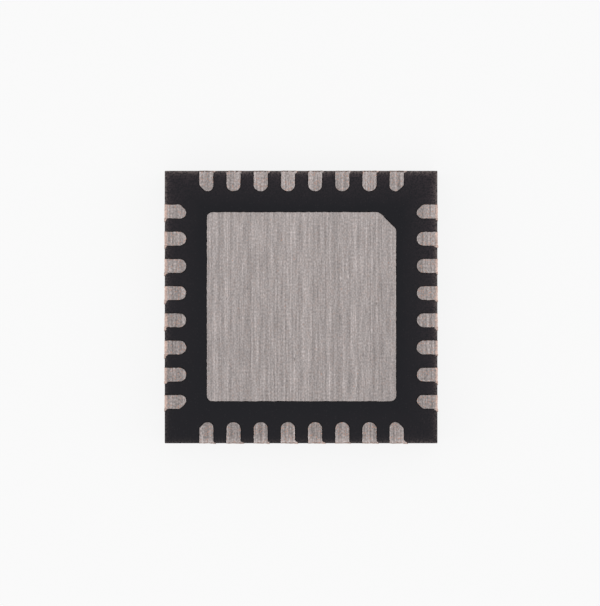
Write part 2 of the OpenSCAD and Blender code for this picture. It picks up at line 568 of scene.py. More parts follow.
@dataclass(frozen=True)
class BrushedTin(Finish):
    """Tin plate brushed along Y, cut through to the copper where the package was sawn."""

    tin: Colour
    half: float
    top: float
    speck_share: float
    pinhole_share: float
    strength: float
    # Painted light and shade: how much lighter the tin is drawn per millimetre along X and Y
    painted_light_slope: Pair
    # Copper that shows along the sides, with a strip for each side in their order, each with its painted
    # light and shade
    copper: Colour = (0.59, 0.43, 0.372)
    copper_tones: Pair = (0.55, 1.35)
    strips: tuple[CopperStrip, ...] = (
        CopperStrip(0.037, 1.07, 0.5, 0.08),
        CopperStrip(0.018, 0.50, 0.0, 0.52),
        CopperStrip(0.046, 1.06, 0.5, 0.08),
        CopperStrip(0.019, 0.22, 0.3, 0.28),
    )
    strip_blur: Pair = (0.7, 1.3)
    # Colour of the painted shade line, as a share of the copper's
    groove_shade_tone: float = 0.2
    # Distance over which the painted sheen fades
    sheen_width: float = 0.05
    blotch_density: Triple = (30, 30, 30)
    blotch_range: Pair = (0.42, 0.62)
    blotch: float = 0.45
    fray_density: Triple = (26, 26, 26)
    fray_roughness: float = 0.6
    fray: float = 0.085
    round_depths: Pair = (0.012, 0.004)
    saw_density: Triple = (9, 9, 90)
    score_share: float = 0.9
    # Brushed lines and grain of the tin
    contrast: float = 0.85
    long_density: Triple = (27, 0.12, 3)
    long_share: float = 0.425
    short_density: Triple = (30, 1.9, 6)
    short_share: float = 0.48
    fine_density: Triple = (42, 26, 40)
    fine_share: float = 0.69
    crest: float = 0.9
    # Warm mottling, pinholes and specks
    mottle_density: Triple = (30, 30, 30)
    mottle_range: Pair = (0.45, 0.75)
    mottle: float = 0.35
    warmth: Triple = (1.16, 0.97, 0.88)
    pinholes: Specks = Specks((30, 30, 30), 0.45, 0.9)
    pinhole_colour: Colour = (0.47, 0.29, 0.23)
    dark_specks: Specks = Specks((8, 4, 8), 0.16, 0.5)
    dark_tone: float = 0.35
    bright_specks: Specks = Specks((7, 3, 7), 0.14, 0.6)
    bright_tone: float = 1.9
    # Roughness and relief
    roughness: float = 0.40
    line_roughness: float = 0.45
    relief: float = 0.0012
    grain_relief: float = 0.7

    def plate(self, graph: Graph, fine: Value, lines: Value) -> Socket:
        """Draws the tin: brushed lines, painted light and shade across it, a painted sheen beside the sawn
        sides, warm mottling, pinholes and specks.

        Args:
            graph: the material's nodes.
            fine: the fine grain.
            lines: the brushed lines, swinging about zero.

        Returns:
            The tin's colour.
        """
        grain = graph.product(graph.total(lines, graph.swing(fine, self.fine_share)), self.strength)
        crests = graph.product(grain, grain, self.crest)
        # Painted light and shade: the tin drawn lighter or darker across the part
        painted_shading = graph.measure("DOT_PRODUCT", graph.place(), (*self.painted_light_slope, 0.0))
        # Painted sheen: the tin drawn brighter near each sawn side
        for side, strip in zip(Side, self.strips):
            inside = graph.maths("DIVIDE", graph.edge_distance(side, self.half), -self.sheen_width)
            painted_shading = graph.total(painted_shading, graph.product(graph.maths("EXPONENT", inside), strip.sheen))
        tone = graph.total(HALF, grain, crests, painted_shading)
        plate = graph.blend(tone, scaled(self.tin, 1 - self.contrast), scaled(self.tin, 1 + self.contrast))
        mottling = graph.grain(self.mottle_density, detail=2)
        warm = graph.remap(mottling, *self.mottle_range, 0.0, self.mottle)
        plate = graph.blend(warm, plate, tuple(a * b for a, b in zip(self.tin, self.warmth)))
        flaws = (
            (self.pinholes, self.pinhole_share, self.pinhole_colour),
            (self.dark_specks, self.speck_share, scaled(self.tin, self.dark_tone)),
            (self.bright_specks, self.speck_share, scaled(self.tin, self.bright_tone)),
        )
        for specks, share, colour in flaws:
            spots = graph.specks(specks.density, specks.radius, share)
            plate = graph.blend(graph.product(spots, specks.cover), plate, colour)
        return plate

    def bare_copper(self, graph: Graph, worn: Value, level: float = 1.0) -> Socket:
        """Draws scored copper of a brightness, which the strips use to paint light and shade."""
        dark, light = (scaled(self.copper, tone * level) for tone in self.copper_tones)
        return graph.blend(worn, dark, light)

    def sawn(self, graph: Graph, plate: Value, fine: Value) -> Socket:
        """Draws the bare copper along the sides over the tin, with each side's painted light and shade on
        the flat face and a dark line painted as shade where they meet.

        Args:
            graph: the material's nodes.
            plate: the tin's colour.
            fine: the fine grain.

        Returns:
            The colour of tin and copper together.
        """
        z = graph.parts(graph.place())[2]
        flat = graph.remap(z, *(self.top - depth for depth in self.round_depths))
        scores = graph.swing(graph.grain(self.saw_density, detail=2), self.score_share)
        worn = graph.total(HALF, scores, graph.swing(fine, self.score_share))
        ragged = graph.grain(self.fray_density, detail=2, roughness=self.fray_roughness)
        frayed = graph.swing(ragged, self.fray)
        blotches = graph.grain(self.blotch_density, detail=2)
        kept = graph.remap(blotches, *self.blotch_range, 1.0, 1 - self.blotch)
        bare = self.bare_copper(graph, worn)
        colour = plate
        for side, strip in zip(Side, self.strips):
            inside = graph.total(graph.edge_distance(side, self.half), frayed)
            share = graph.remap(inside, *(strip.width * blur for blur in self.strip_blur), 1.0, 0.0)
            # On the flat face the copper takes its side's painted light and shade; on the sawn end it stays
            # plain
            seen = self.bare_copper(graph, worn, strip.level)
            colour = graph.blend(graph.product(share, kept), colour, graph.blend(flat, bare, seen))
            # Painted shade: a dark line drawn along the copper's inner border
            groove_shade = graph.product(share, graph.maths("SUBTRACT", 1.0, share), strip.groove_shade)
            colour = graph.blend(groove_shade, colour, scaled(self.copper, self.groove_shade_tone))
        return colour

    def draw(self, graph: Graph) -> Inputs:
        """Draws tin and copper.

        Args:
            graph: the material's nodes.

        Returns:
            The shader's inputs by name.
        """
        fine = graph.grain(self.fine_density)
        long_lines = graph.swing(graph.grain(self.long_density), self.long_share)
        short_lines = graph.swing(graph.grain(self.short_density), self.short_share)
        lines = graph.total(long_lines, short_lines)
        rough_lines = graph.product(short_lines, self.line_roughness)
        return {
            "Base Color": self.sawn(graph, self.plate(graph, fine, lines), fine),
            "Metallic": 1.0,
            "Roughness": graph.total(self.roughness, rough_lines, graph.swing(fine, ROUGH_SWING)),
            "Normal": graph.bump(graph.total(lines, graph.product(fine, self.grain_relief)), self.relief),
        }


@dataclass(frozen=True)
class FilledEpoxy(Finish):
    """Black moulding compound: paler and browner towards its sawn edges, striped by the saw on its sides."""

    half: float
    top: float
    dot_centre: Pair
    dot_radius: float
    dot_level: float
    # Terminal face: haze and band of worn epoxy, and the grey rim
    black: Colour = (0.0102, 0.0101, 0.0128)
    worn: Colour = (0.125, 0.0863, 0.0969)
    rim_grey: Colour = (0.125, 0.102, 0.096)
    rim: float = 0.95
    rim_width: float = 0.030
    band: float = 0.03
    band_range: Pair = (0.06, 0.20)
    haze: float = 0.085
    haze_width: float = 0.67
    haze_lift: Pair = (0.15, 1.4)
    rim_lift: Pair = (0.35, 1.3)
    lift_skew: float = 0.45
    lift_reach: float = 1.6
    cloud_waver: float = 0.25
    fine_waver: float = 0.16
    grain_lift: Pair = (0.1, 1.9)
    face_depth: float = 0.02
    # Marked face and its dot
    mark_grey: Colour = (0.16, 0.16, 0.158)
    mark_reach: float = 1.5
    dot_core: float = 0.94
    dot_waver: float = 0.02
    cloud_level: float = 2.0
    # Sawn sides
    sawn_grey: Colour = (0.030, 0.029, 0.030)
    sawn_tones: Pair = (0.55, 1.5)
    stripe_density: Triple = (1.5, 1.5, 70)
    stripe_roughness: float = 0.6
    # Filler and grain
    filler_grey: Colour = (0.075, 0.066, 0.066)
    filler_density: Triple = (24, 24, 24)
    filler_radius: float = 0.33
    filler_share: float = 0.30
    side_filler: float = 0.45
    face_filler: float = 0.10
    fine_density: Triple = (34, 34, 34)
    cloud_density: Triple = (6, 6, 6)
    # Roughness, shine and relief
    roughness: float = 0.62
    shine: float = 0.12
    relief: float = 0.0015
    score_relief: float = 2.0

    def terminal_face(self, graph: Graph, fine: Value, cloud: Value) -> Socket:
        """Draws the face round the terminals, paler towards the sides and least in the -X, -Y corner.

        Args:
            graph: the material's nodes.
            fine: the fine grain.
            cloud: the wide grain.

        Returns:
            The face's colour.
        """
        x, y, _ = graph.parts(graph.place())
        toward = graph.total(y, graph.product(x, self.lift_skew))
        far = self.lift_reach * self.half
        haze_lift = graph.remap(toward, -far, far, *self.haze_lift)
        rim_lift = graph.remap(toward, -far, far, *self.rim_lift)
        inside = graph.fold("MINIMUM", *(graph.edge_distance(side, self.half) for side in Side))
        waver = graph.swing(cloud, self.cloud_waver), graph.swing(fine, self.fine_waver)
        wavering = graph.total(inside, *waver)
        band = graph.remap(wavering, *self.band_range, self.band, 0.0)
        fading = graph.product(wavering, self.haze / self.haze_width)
        haze = graph.maths("MAXIMUM", graph.maths("SUBTRACT", self.haze, fading), 0.0)
        grained = graph.remap(fine, *GRAIN_RANGE, *self.grain_lift)
        share = graph.product(graph.total(band, haze), haze_lift, grained)
        rim = graph.maths("EXPONENT", graph.maths("DIVIDE", inside, -self.rim_width))
        rim = graph.product(rim, self.rim, rim_lift, grained)
        return graph.blend(rim, graph.blend(share, self.black, self.worn), self.rim_grey)

    def marked_face(self, graph: Graph, fine: Value, cloud: Value) -> Socket:
        """Draws the lower face with its pale dot.

        Args:
            graph: the material's nodes.
            fine: the fine grain.
            cloud: the wide grain.

        Returns:
            The face's colour.
        """
        level = graph.vectors("MULTIPLY", graph.place(), (1.0, 1.0, 0.0))
        away = graph.measure("DISTANCE", level, (*self.dot_centre, 0.0))
        radius = graph.total(away, graph.swing(fine, self.dot_waver))
        in_dot = graph.remap(radius, self.dot_radius * self.dot_core, self.dot_radius, 1.0, 0.0)
        plain = graph.blend(cloud, self.black, scaled(self.black, self.cloud_level))
        return graph.blend(in_dot, plain, self.mark_grey)

    def draw(self, graph: Graph) -> Inputs:
        """Draws the terminal face, the sawn sides, the marked face and its dot.

        Args:
            graph: the material's nodes.

        Returns:
            The shader's inputs by name.
        """
        z = graph.parts(graph.place())[2]
        fine = graph.grain(self.fine_density, detail=2)
        cloud = graph.grain(self.cloud_density, detail=2)
        filler = graph.specks(self.filler_density, self.filler_radius, self.filler_share)
        stripes = graph.grain(self.stripe_density, detail=3, roughness=self.stripe_roughness)
        dark, light = (scaled(self.sawn_grey, tone) for tone in self.sawn_tones)
        sawn = graph.blend(graph.remap(stripes, *GRAIN_RANGE), dark, light)
        sawn = graph.blend(graph.product(filler, self.side_filler), sawn, self.filler_grey)
        face = self.terminal_face(graph, fine, cloud)
        face = graph.blend(graph.product(filler, self.face_filler), face, self.filler_grey)
        above_mark = graph.maths("GREATER_THAN", z, self.dot_level * self.mark_reach)
        on_face = graph.maths("GREATER_THAN", z, self.top - self.face_depth)
        lower = graph.blend(above_mark, self.marked_face(graph, fine, cloud), sawn)
        on_sides = graph.maths("SUBTRACT", above_mark, on_face)
        scored = graph.product(stripes, on_sides, self.score_relief)
        return {
            "Base Color": graph.blend(on_face, lower, face),
            "Roughness": graph.total(self.roughness, graph.swing(fine, ROUGH_SWING)),
            "Specular IOR Level": self.shine,
            "Normal": graph.bump(graph.total(fine, scored), self.relief),
        }


@dataclass(frozen=True)
class SpeckledFinish(Finish):
    """A plain hidden material with its own grain: silicon, silver epoxy or gold wire."""

    dark: Colour
    light: Colour
    cells: float
    metal: float
    roughness: float
    relief: float = 0.0005

    def draw(self, graph: Graph) -> Inputs:
        """Draws grain between the two colours, and gives the shader's inputs by name."""
        grain = graph.grain((self.cells,) * 3, detail=3)
        return {
            "Base Color": graph.blend(graph.remap(grain, *GRAIN_RANGE), self.dark, self.light),
            "Metallic": self.metal,
            "Roughness": graph.total(self.roughness, graph.swing(grain, ROUGH_SWING)),
            "Normal": graph.bump(grain, self.relief),
        }


@dataclass(frozen=True)
class PackageSizes:
    """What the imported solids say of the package, in millimetres."""

    half: float
    mould_top: float
    terminal_top: float
    etch_level: float
    sheet_bottom: float
    lead_width: float
    finger_tip: float
    pitch: float
    leads_per_side: int
    dot_level: float
    dot_centre: Pair
    dot_radius: float

    @classmethod
    def from_frame(cls) -> "PackageSizes":
        """Reads the sizes from the frame.

        Returns:
            The sizes.
        """
        nodes = frame["nodes"]
        names = [name for name in nodes if name.startswith("lead_")]
        low, high = (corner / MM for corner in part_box(names[1]))
        heights = {round(vert.co.z / MM, DIGITS) for vert in nodes[names[1]].data.vertices}
        sheet_bottom, etch_level, terminal_top = sorted(heights)
        mould = nodes["mould_body"].data.vertices
        dot_level = min(z for z in (round(vert.co.z / MM, DIGITS) for vert in mould) if z > 0)
        dot = [vert.co / MM for vert in mould if abs(vert.co.z / MM - dot_level) < NEAR]
        xs, ys = [point.x for point in dot], [point.y for point in dot]
        return cls(
            half=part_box("mould_body")[1].x / MM,
            mould_top=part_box("mould_body")[1].z / MM,
            terminal_top=terminal_top,
            etch_level=etch_level,
            sheet_bottom=sheet_bottom,
            lead_width=high.y - low.y,
            finger_tip=low.x,
            pitch=(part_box(names[0])[0].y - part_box(names[1])[0].y) / MM,
            leads_per_side=len(names) // len(Side),
            dot_level=dot_level,
            dot_centre=((min(xs) + max(xs)) / 2, (min(ys) + max(ys)) / 2),
            dot_radius=(max(xs) - min(xs)) / 2,
        )

    def lead_name(self, side: Side, place: int) -> str:
        """Name of the lead at a place along a side."""
        return f"lead_{side.value * self.leads_per_side + place + 1:02d}"

    def lead_names(self, side: Side) -> list[str]:
        """Names of the leads along a side."""
        return [self.lead_name(side, place) for place in range(self.leads_per_side)]

    @property
    def all_leads(self) -> list[str]:
        """Names of all leads, in the order of their numbers."""
        return [name for side in Side for name in self.lead_names(side)]

    def along(self, place: int) -> float:
        """Where a place along the right-hand side lies in Y."""
        return ((self.leads_per_side - 1) / 2 - place) * self.pitch

    def saw_corners(self, inset: float = 0.0) -> list[Vector]:
        """Corners of the rectangle that the saw cut, less an inset, counter-clockwise from +X, +Y."""
        right, bottom, left, top = (self.half + SAW_CUTS[side].outside - inset for side in Side)
        return [Vector(at) for at in ((right, top), (-left, top), (-left, -bottom), (right, -bottom))]

    def drawn_out(self, node: str) -> Shape:
        """Copies a solid and draws its sawn ends out past the saw's lines.

        Args:
            node: a lead, whose end goes straight out, or the die pad, whose tie bars go along the diagonals.

        Returns:
            The copy, which the caller frees.
        """
        copy = solid_copy(node)
        for vert in copy.verts:
            ways = [side.outward for side in Side if vert.co.dot(side.outward) > self.half - NEAR]
            if ways and node == "die_pad":
                ways = [Vector((math.copysign(1, vert.co.x), math.copysign(1, vert.co.y), 0))]
            for way in ways:
                vert.co += way * RUN_OUT
        return copy


@dataclass
class Moulding:
    """The epoxy block that holds the lead frame."""

    sizes: PackageSizes
    finish: FilledEpoxy
    # Sawn block
    corner_radius: float = 0.014
    corner_flats: int = 4
    edge_radius: float = 0.003
    edge_flats: int = 3
    chip_depth: float = 0.008
    chip_density: Triple = (22, 22, 4)
    chip_lift: float = 7.0
    chip_floor: float = 0.1
    saw_wander: float = 0.0008
    wander_density: Triple = (3, 3, 60)
    outline_step: float = 0.02
    side_rings: int = 12
    # Moats round the terminals, and the pin 1 dot
    moat_width: float = 0.006
    moat_foot: float = 0.002
    moat_depth: float = 0.006
    dot_facets: int = 96

    def sawn_block(self) -> Shape:
        """Builds the block with chipped edges and sides that the saw left a little uneven.

        Returns:
            The block, which the caller frees.
        """
        outline = []
        for quarter, centre in enumerate(self.sizes.saw_corners(self.corner_radius)):
            outline += arc(centre, self.corner_radius, quarter * RIGHT_ANGLE, RIGHT_ANGLE, self.corner_flats)
        outline = resampled(outline, self.outline_step)
        top = self.sizes.mould_top
        profile = rounding(self.edge_radius, self.edge_flats)
        shoulder = self.edge_radius + self.chip_depth
        step = (top - 2 * shoulder) / self.side_rings
        levels = [(inset, top - drop, 1.0) for inset, drop in profile]
        levels += [(0.0, top - shoulder - step * ring, 0.0) for ring in range(self.side_rings + 1)]
        levels += [(inset, drop, 1.0) for inset, drop in reversed(profile)]
        return lofted([self.sawn_ring(outline, *level) for level in levels])

    def sawn_ring(self, outline: Sequence[Vector], inset: float, z: float, edge: float) -> list[Vector]:
        """Places one ring of the block's skin.

        Args:
            outline: the block's outline.
            inset: how far the ring lies inside it.
            z: the ring's height.
            edge: one on the chipped edges, zero on the sides.

        Returns:
            The ring's points.
        """
        ring = []
        for outer, inner in zip(outline, grown(outline, -1.0)):
            place = (outer.x, outer.y, z)
            wander = noise_at(place, self.wander_density)
            chips = max(0.0, noise_at(place, self.chip_density, self.chip_lift) - self.chip_floor)
            depth = inset + self.saw_wander * wander + edge * self.chip_depth * chips
            ring.append(outer + (inner - outer) * depth)
        return at_height(ring, z)

    def moats(self) -> Shape:
        """Builds the cutters for the fine gap that the epoxy leaves round each terminal face.

        Returns:
            The cutters in one shape, which the caller frees.
        """
        floor = self.sizes.mould_top - self.moat_depth
        profile = (
            (self.moat_width, self.sizes.terminal_top),
            (self.moat_width, self.sizes.mould_top),
            (self.moat_foot, floor),
        )
        moats = bmesh.new()
        for name in ("die_pad", *self.sizes.all_leads):
            outline = top_outline(self.sizes.drawn_out(name))
            ring = lofted([at_height(grown(outline, width), z) for width, z in profile])
            mesh = bpy.data.meshes.new("moat")
            ring.to_mesh(mesh)
            ring.free()
            moats.from_mesh(mesh)
            bpy.data.meshes.remove(mesh)
        return moats

    def dot(self) -> Shape:
        """Builds the cutter for the pin 1 dot.

        Returns:
            The cutter, which the caller frees.
        """
        centre, level = Vector(self.sizes.dot_centre), self.sizes.dot_level
        circle = arc(centre, self.sizes.dot_radius, 0.0, math.tau, self.dot_facets)[:-1]
        return prism(circle, level, -level)

    def build(self) -> Object:
        """Builds the moulding with its pockets, moats and dot.

        Returns:
            The finished piece.
        """
        pockets = ("die_pad", "die_attach", "silicon_die", *self.sizes.all_leads)
        cutters = [*(self.sizes.drawn_out(name) for name in pockets), self.moats(), self.dot()]
        mesh = combined(self.sawn_block(), [(Combine.CUT, cutter) for cutter in cutters])
        return fitted_piece("moulding", mesh, self.finish, ["mould_body"])


@dataclass
class DiePad:
    """The etched pad with its rim and tie bars."""

    sizes: PackageSizes
    finish: BrushedTin
    edge_radius: float = 0.011
    edge_wave: float = 0.006
    wave_density: float = 17.0
    outline_step: float = 0.014
    overlap: float = 0.01

    def waved(self, outline: Sequence[Vector]) -> list[Vector]:
        """Gives an outline the fine waves of an etched edge.

        Args:
            outline: the outline's points.

        Returns:
            The moved points.
        """
        moved = []
        for at, out in zip(outline, grown(outline, 1.0)):
            wave = noise.noise(at.to_3d() * self.wave_density)
            moved.append(at + (out - at) * (wave * self.edge_wave))
        return moved

    def plate(self) -> Shape:
        """Builds the full-thickness part with its rounded upper edge.

        Returns:
            The part, which the caller frees.
        """
        outline = self.waved(resampled(top_outline(solid_copy("die_pad")), self.outline_step))
        rings = rounded_rings(outline, self.sizes.terminal_top, self.edge_radius)
        return lofted([*rings, at_height(outline, self.sizes.etch_level - self.overlap)])

    def build(self) -> Object:
        """Builds the pad: the solid's half-etched layer under the plate.

        Returns:
            The finished piece.
        """
        below = prism(self.sizes.saw_corners(), self.sizes.etch_level, 0.0)
        steps = [(Combine.TRIM, below), (Combine.JOIN, self.plate())]
        mesh = combined(self.sizes.drawn_out("die_pad"), steps)
        return fitted_piece("pad_and_tie_bars", mesh, self.finish, ["die_pad"])


@dataclass
class LeadShapes:
    """The shapes that the lead rows repeat, drawn for the right-hand side with the middle on the X axis.

    A burr is drawn one unit long, wide and high. Its heights are those at the corner, along the lead and
    along the cut, and its rag is the height of its ragged edge.
    """

    sizes: PackageSizes
    # Lead
    edge_radius: float = 0.012
    outline_step: float = 0.014
    rounds: int = 2
    proud: float = 0.002
    wall_rings: int = 4
    # Burr
    burr_points: int = 7
    burr_kinds: int = 4
    burr_lap: float = 0.14
    burr_pull: Pair = (-0.28, 0.22)
    burr_heights: Triple = (1.0, 0.8, 0.6)
    burr_rag: float = 0.22
    burr_foot: float = -0.25
    burr_crown: Triple = (-0.32, -0.28, 0.75)
    seed: int = 11

    def softened(self, outline: Sequence[Vector]) -> list[Vector]:
        """Rounds off the corners of a lead's tip and leaves its sawn end alone.

        Args:
            outline: the lead's outline.

        Returns:
            The moved points, as many as before.
        """
        fixed = self.sizes.half - self.sizes.lead_width / 2
        for _ in range(self.rounds):
            around = neighbours(outline)
            outline = [at if at.x > fixed else (before + 2 * at + after) / 4 for before, at, after in around]
        return list(outline)

    def lead(self, place: int) -> Object:
        """Builds the lead of a place on the right-hand side.

        Args:
            place: the place along the side, from zero.

        Returns:
            The lead as an object of its own.
        """
        name = self.sizes.lead_name(Side.RIGHT, place)
        middle = Vector((0, self.sizes.along(place)))
        half_width = self.sizes.lead_width / 2
        outline = [point - middle for point in top_outline(solid_copy(name))]
        straight = min(point.x for point in outline if abs(abs(point.y) - half_width) < NEAR)
        tip = min(point.x for point in outline)
        outline = self.softened(resampled(outline, self.outline_step))
        outline = [Vector((p.x + self.proud * (p.x > self.sizes.half - MERGE), p.y)) for p in outline]
        finger_shift = tip - self.sizes.finger_tip
        shoulder = max(straight, tip + half_width)
        finger = [Vector((p.x - finger_shift * (p.x < shoulder - MERGE), p.y)) for p in outline]
        etch, bottom = self.sizes.etch_level, self.sizes.sheet_bottom
        wall_top = self.sizes.terminal_top - self.edge_radius
        walls = [wall_top - (wall_top - etch) * (i + 1) / self.wall_rings for i in range(self.wall_rings)]
        rings = rounded_rings(outline, self.sizes.terminal_top, self.edge_radius)
        rings += [at_height(outline, z) for z in walls]
        rings += [at_height(finger, z) for z in (etch, (etch + bottom) / 2, bottom)]
        return new_object(f"{name}_shape", lofted(rings))

    def burr(self, kind: int) -> Object:
        """Builds a smear of metal that lies on the moulding in the corner between a lead and the saw cut.

        Args:
            kind: which of the smears to draw.

        Returns:
            The smear as an object of its own.
        """
        draw = random.Random(self.seed + kind)
        ragged = []
        for i in range(self.burr_points):
            share = i / (self.burr_points - 1)
            pull = 1 + draw.uniform(*self.burr_pull) * math.sin(math.pi * share)
            ragged.append(Vector(((share - 1) * pull, -share * pull)))
        lap = self.burr_lap
        outline = [Vector((lap, lap)), Vector((-1.0, lap)), *ragged, Vector((lap, -1.0))]
        corner, along_lead, along_cut = self.burr_heights
        heights = [corner, along_lead, *([self.burr_rag] * len(ragged)), along_cut]
        skin = bmesh.new()
        rim = [skin.verts.new((p.x, p.y, h)) for p, h in zip(outline, heights)]
        foot = [skin.verts.new(point) for point in at_height(outline, self.burr_foot)]
        crown = skin.verts.new(self.burr_crown)
        for i in range(len(rim)):
            j = (i + 1) % len(rim)
            skin.faces.new((rim[i], rim[j], crown))
            skin.faces.new((rim[i], foot[i], foot[j], rim[j]))
        skin.faces.new(foot[::-1])
        bmesh.ops.recalc_face_normals(skin, faces=skin.faces)
        return new_object(f"burr_{kind}_shape", skin)


class RowInput(Enum):
    """The named inputs of the nodes that lay out a row of leads, each with its kind of socket."""

    COUNT = ("Count", "Int")
    PITCH = ("Pitch", "Float")
    FIRST_LEAD = ("First lead", "Object")
    PLAIN_LEAD = ("Plain lead", "Object")
    LAST_LEAD = ("Last lead", "Object")
    BURRS = ("Burrs", "Collection")
    BURR_KINDS = ("Burr kinds", "Int")
    BURR_PLACE = ("Burr place", "Vector")
    BURR_TURN = ("Burr turn", "Vector")
    BURR_SMALL = ("Smallest burr", "Vector")
    BURR_LARGE = ("Largest burr", "Vector")
    WAVE = ("Edge wave", "Vector")
    WAVE_DENSITY = ("Waves to the millimetre", "Float")
    WAVED_ABOVE = ("Waved above", "Float")
    LIP = ("Saw lip", "Float")
    SAWN_AT = ("Sawn at", "Float")
    OUTSIDE = ("Saw line outside", "Float")
    DRAWN_FROM = ("Drawn out from", "Float")
    TERMINAL_TOP = ("Terminal face", "Float")
    TURN = ("Row turn", "Vector")
    SEED = ("Seed", "Int")
    FINISH = ("Finish", "Material")

    @property
    def title(self) -> str:
        """Name that the socket shows."""
        return self.value[0]

    @property
    def kind(self) -> str:
        """Blender's name for the kind of socket."""
        return f"NodeSocket{self.value[1]}"


class RowLayout:
    """Geometry nodes that set leads and burrs along the right-hand side and turn the row to its own side."""

    def __init__(self) -> None:
        """Makes the tree, its named inputs and its nodes."""
        self.tree = bpy.data.node_groups.new("lead_row", "GeometryNodeTree")
        self.graph = Graph(self.tree)
        self.identifiers: dict[RowInput, str] = {}
        for entry in RowInput:
            socket = self.tree.interface.new_socket(entry.title, in_out="INPUT", socket_type=entry.kind)
            self.identifiers[entry] = socket.identifier
        self.tree.interface.new_socket("Geometry", in_out="OUTPUT", socket_type="NodeSocketGeometry")
        self.given = dict(zip(RowInput, self.graph.add("NodeGroupInput").outputs))
        self.wire()

    def vector(self, x: Value = 0.0, y: Value = 0.0) -> Socket:
        """Puts a level vector together from its parts."""
        return self.graph.add("ShaderNodeCombineXYZ", {0: x, 1: y}).outputs[0]

    def equal(self, a: Value, b: Value) -> Socket:
        """Tests whether two whole numbers, the node's inputs 2 and 3, are equal."""
        test = self.graph.add("FunctionNodeCompare", {2: a, 3: b}, data_type="INT", operation="EQUAL")
        return test.outputs[0]

    def moved(self, geometry: Socket, offset: Socket, chosen: Socket | bool = True) -> Socket:
        """Moves geometry by an offset, all of it or the chosen points."""
        inputs = {"Geometry": geometry, "Selection": chosen, "Offset": offset}
        return self.graph.add("GeometryNodeSetPosition", inputs).outputs[0]

    def leads(self, points: Socket, shape: RowInput, chosen: Socket) -> Socket:
        """Sets one kind of lead on its points.

        Args:
            points: the row's points.
            shape: the input that holds the lead's shape.
            chosen: which of the points get it.

        Returns:
            The instances' socket.
        """
        lead = self.graph.add("GeometryNodeObjectInfo", {"Object": self.given[shape]}).outputs["Geometry"]
        inputs = {"Points": points, "Selection": chosen, "Instance": lead}
        return self.graph.add("GeometryNodeInstanceOnPoints", inputs).outputs[0]

    def burrs(self, points: Socket, index: Socket) -> Socket:
        """Sets a burr of random kind and size beside each lead.

        Args:
            points: the row's points.
            index: each point's number.

        Returns:
            The instances' socket.
        """
        graph, given = self.graph, self.given
        choices = {"Collection": given[RowInput.BURRS], "Separate Children": True, "Reset Children": True}
        draw = {"ID": index, "Seed": given[RowInput.SEED]}
        # The random node's bounds are its inputs 4 and 5 for whole numbers, and 0 and 1 for vectors
        kinds = {4: 0, 5: graph.maths("SUBTRACT", given[RowInput.BURR_KINDS], 1), **draw}
        sizes = {0: given[RowInput.BURR_SMALL], 1: given[RowInput.BURR_LARGE], **draw}
        inputs = {
            "Points": self.moved(points, given[RowInput.BURR_PLACE]),
            "Instance": graph.add("GeometryNodeCollectionInfo", choices).outputs[0],
            "Pick Instance": True,
            "Instance Index": graph.add("FunctionNodeRandomValue", kinds, data_type="INT").outputs[2],
            "Rotation": given[RowInput.BURR_TURN],
            "Scale": graph.add("FunctionNodeRandomValue", sizes, data_type="FLOAT_VECTOR").outputs[0],
        }
        return graph.add("GeometryNodeInstanceOnPoints", inputs).outputs[0]

    def worn(self, row: Socket) -> Socket:
        """Waves the etched edges, pulls the sawn ends into a lip and draws them out to the saw's line.

        Args:
            row: the row's realized geometry.

        Returns:
            The moved geometry's socket.
        """
        graph, given = self.graph, self.given
        at = graph.add("GeometryNodeInputPosition").outputs[0]
        x, _, z = graph.parts(at)
        inputs = {
            "Vector": at,
            "W": given[RowInput.SEED],
            "Scale": given[RowInput.WAVE_DENSITY],
            "Detail": 1.0,
        }
        ripple = graph.add("ShaderNodeTexNoise", inputs, noise_dimensions="4D").outputs
        wave = graph.vectors("SUBTRACT", ripple["Color"], (HALF,) * 3)
        wave = graph.vectors("MULTIPLY", wave, given[RowInput.WAVE])
        high = graph.maths("GREATER_THAN", z, given[RowInput.WAVED_ABOVE])
        waved = self.moved(row, wave, high)
        sawn = graph.maths("GREATER_THAN", x, given[RowInput.SAWN_AT])
        up = graph.remap(z, given[RowInput.WAVED_ABOVE], given[RowInput.TERMINAL_TOP])
        pull = graph.product(up, ripple[0], given[RowInput.LIP])
        lipped = self.moved(waved, self.vector(x=pull), sawn)
        near_end = graph.remap(x, given[RowInput.DRAWN_FROM], given[RowInput.SAWN_AT])
        return self.moved(lipped, self.vector(x=graph.product(near_end, given[RowInput.OUTSIDE])))

    def wire(self) -> None:
        """Adds the nodes from the row's points to its finished geometry."""
        graph, given = self.graph, self.given
        last = graph.maths("SUBTRACT", given[RowInput.COUNT], 1.0)
        inputs = {
            "Count": given[RowInput.COUNT],
            "Start Location": self.vector(y=graph.product(last, HALF, given[RowInput.PITCH])),
            "Offset": self.vector(y=graph.product(given[RowInput.PITCH], -1.0)),
        }
        points = graph.add("GeometryNodeMeshLine", inputs).outputs[0]
        index = graph.add("GeometryNodeInputIndex").outputs[0]
        first, end = self.equal(index, 0), self.equal(index, last)
        between = graph.add("FunctionNodeBooleanMath", {0: first, 1: end}, operation="NOR").outputs[0]
        join = graph.add("GeometryNodeJoinGeometry")
        parts = (
            self.leads(points, RowInput.FIRST_LEAD, first),
            self.leads(points, RowInput.PLAIN_LEAD, between),
            self.leads(points, RowInput.LAST_LEAD, end),
            self.burrs(points, index),
        )
        for part in parts:
            self.tree.links.new(part, join.inputs[0])
        real = graph.add("GeometryNodeRealizeInstances", {0: join.outputs[0]}).outputs[0]
        turned = graph.add("GeometryNodeTransform", {0: self.worn(real), "Rotation": given[RowInput.TURN]})
        finish = {"Geometry": turned.outputs[0], "Material": given[RowInput.FINISH]}
        dressed = graph.add("GeometryNodeSetMaterial", finish)
        graph.add("NodeGroupOutput", {0: dressed.outputs[0]})

